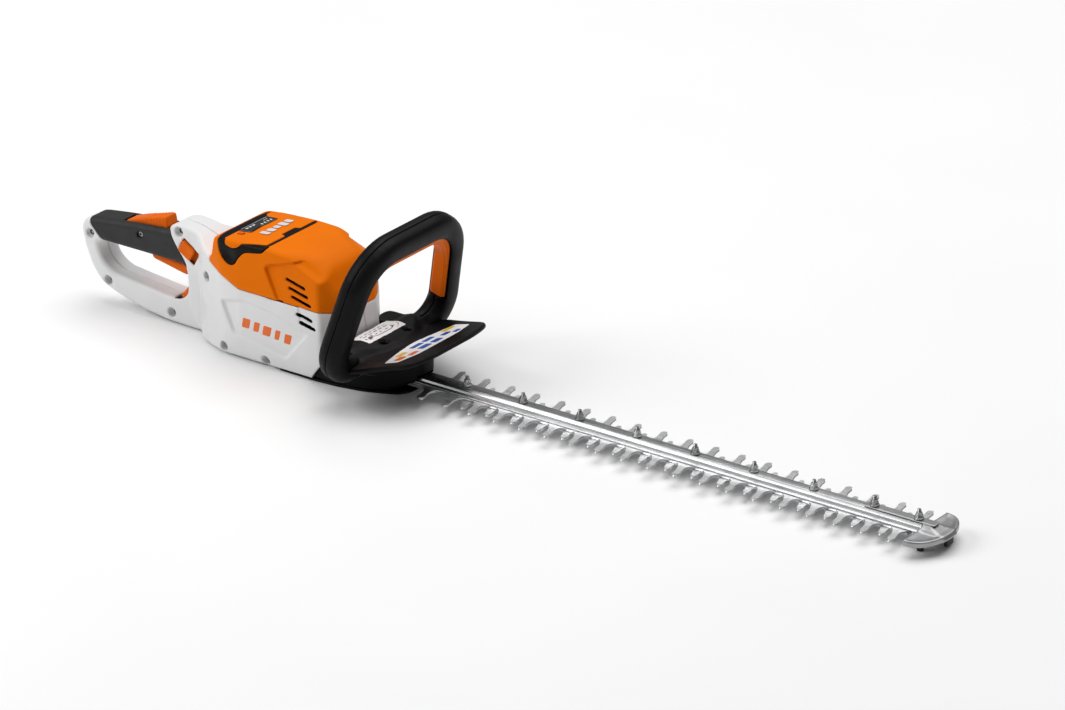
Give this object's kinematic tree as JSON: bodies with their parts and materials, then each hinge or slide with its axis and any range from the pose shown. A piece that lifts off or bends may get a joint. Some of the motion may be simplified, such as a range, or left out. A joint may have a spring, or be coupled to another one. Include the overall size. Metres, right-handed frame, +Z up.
{
  "type": "hedge trimmer",
  "caption": "Cordless hedge trimmer with a double-sided reciprocating blade, a rear D handle, a front loop handle with a hand guard, and a top-loading battery.",
  "frame": {"origin": "on the floor plane, straight under the crank axis of the blade drive, at the foot of the bottom cover", "axes": "+X forward along the blade, +Y to the tool's left, +Z up"},
  "size_m": [1.0285, 0.2026, 0.1732],
  "materials": {
    "white_housing": "semi-matt moulded plastic",
    "orange_cover": "semi-gloss moulded plastic",
    "orange_controls": "satin moulded plastic",
    "black_plastic": "fine-grained moulded plastic",
    "grip_rubber": "soft matt overmould",
    "display": "glossy window",
    "blade_steel": "ground and polished",
    "rail_aluminium": "drawn, with bright chamfers",
    "cast_aluminium": "bead-blasted casting",
    "zinc_steel": "zinc-plated",
    "motor_core": "laminations and enamelled copper",
    "circuit_board": "solder-masked board"
  },
  "bodies": {
    "chassis": {"housing_right": "white_housing", "housing_left": "white_housing", "top_cover": "orange_cover", "grip_right": "grip_rubber", "grip_left": "grip_rubber", "grip_screw": "zinc_steel", "housing_screw_rear": "zinc_steel", "housing_screw_low": "zinc_steel", "housing_screw_mid": "zinc_steel", "trigger_switch": "black_plastic", "trigger_spring": "blade_steel", "loop_front_shell": "black_plastic", "loop_rear_shell": "black_plastic", "loop_switch": "black_plastic", "bar_spring": "blade_steel", "hand_guard": "black_plastic", "gear_housing": "black_plastic", "bottom_cover": "black_plastic", "lower_bearing": "blade_steel", "upper_bearing": "blade_steel", "motor_stator": "motor_core", "control_board": "circuit_board", "battery_terminal": "black_plastic", "battery_spring": "blade_steel", "guide_rail": "rail_aluminium", "tip_guard": "cast_aluminium", "tip_skid": "grip_rubber", "blade_bolt_1": "zinc_steel", "blade_bolt_2": "zinc_steel", "blade_bolt_3": "zinc_steel", "blade_bolt_4": "zinc_steel", "blade_bolt_5": "zinc_steel", "blade_bolt_6": "zinc_steel", "blade_bolt_7": "zinc_steel", "blade_bolt_8": "zinc_steel", "blade_bolt_9": "zinc_steel", "blade_nut_1": "zinc_steel", "blade_nut_2": "zinc_steel", "blade_nut_3": "zinc_steel", "blade_nut_4": "zinc_steel", "blade_nut_5": "zinc_steel", "blade_nut_6": "zinc_steel", "blade_nut_7": "zinc_steel", "blade_nut_8": "zinc_steel", "blade_nut_9": "zinc_steel"},
    "battery": {"battery_case": "black_plastic", "battery_cover": "orange_cover", "battery_display": "display"},
    "charge_button": {"battery_button": "black_plastic"},
    "crank": {"crank_shaft": "blade_steel", "output_gear": "blade_steel"},
    "rotor": {"motor_rotor": "blade_steel", "cooling_fan": "black_plastic"},
    "upper_blade": {"upper_blade": "blade_steel"},
    "lower_blade": {"lower_blade": "blade_steel"},
    "trigger": {"trigger": "orange_controls"},
    "safety_lever": {"safety_lever": "orange_controls"},
    "lock_slide": {"lock_slide": "orange_controls"},
    "battery_latch": {"battery_latch": "orange_controls"},
    "switch_bar": {"loop_switch_bar": "orange_controls"}
  },
  "joints": [
    {"name": "crank_spin", "type": "hinge", "parent": "chassis", "child": "crank", "pos_m": [0, 0, 0.02], "axis": [0, 0, 1], "range_deg": [-68.75, 68.75]},
    {"name": "rotor_spin", "type": "hinge", "parent": "chassis", "child": "rotor", "pos_m": [-0.03375, 0, 0.06], "axis": [0, 0, 1], "range_deg": [-280, 280]},
    {"name": "upper_blade_slide", "type": "slide", "parent": "chassis", "child": "upper_blade", "axis": [1, 0, 0], "range_m": [-0.0091, 0.0091]},
    {"name": "lower_blade_slide", "type": "slide", "parent": "chassis", "child": "lower_blade", "axis": [1, 0, 0], "range_m": [-0.0091, 0.0091]},
    {"name": "trigger_pull", "type": "hinge", "parent": "chassis", "child": "trigger", "pos_m": [-0.2575, 0, 0.0725], "axis": [0, -1, 0], "range_deg": [0, 11], "stiffness_Nm_per_rad": 0.6, "springref_deg": -11.46, "deforming": ["trigger_spring"]},
    {"name": "safety_press", "type": "hinge", "parent": "chassis", "child": "safety_lever", "pos_m": [-0.284, 0, 0.092], "axis": [0, 1, 0], "range_deg": [0, 12], "stiffness_Nm_per_rad": 0.6, "springref_deg": -11.46},
    {"name": "lock_travel", "type": "slide", "parent": "chassis", "child": "lock_slide", "axis": [0.8525, 0, -0.5227], "range_m": [0, 0.005], "stiffness_N_per_m": 400, "springref_m": -0.004},
    {"name": "latch_pull", "type": "hinge", "parent": "chassis", "child": "battery_latch", "pos_m": [-0.2, 0, 0.046], "axis": [0, 1, 0], "range_deg": [0, 12], "stiffness_Nm_per_rad": 0.5, "springref_deg": -11.46},
    {"name": "switch_bar_squeeze", "type": "slide", "parent": "chassis", "child": "switch_bar", "axis": [0.2571, 0, 0.9664], "range_m": [0, 0.004], "stiffness_N_per_m": 600, "springref_m": -0.004, "deforming": ["bar_spring"]},
    {"name": "battery_slide", "type": "slide", "parent": "chassis", "child": "battery", "axis": [-0.0767, 0, 0.9971], "range_m": [0, 0.13]},
    {"name": "charge_button_press", "type": "slide", "parent": "battery", "child": "charge_button", "axis": [0.0767, 0, -0.9971], "range_m": [0, 0.001], "stiffness_N_per_m": 300, "springref_m": -0.001}
  ],
  "couplings": [
    {"joint": "rotor_spin", "follows": "crank_spin", "ratio": -4},
    {"joint": "upper_blade_slide", "follows": "crank_spin", "m_per_rad": -0.0075},
    {"joint": "lower_blade_slide", "follows": "crank_spin", "m_per_rad": 0.0075}
  ]
}
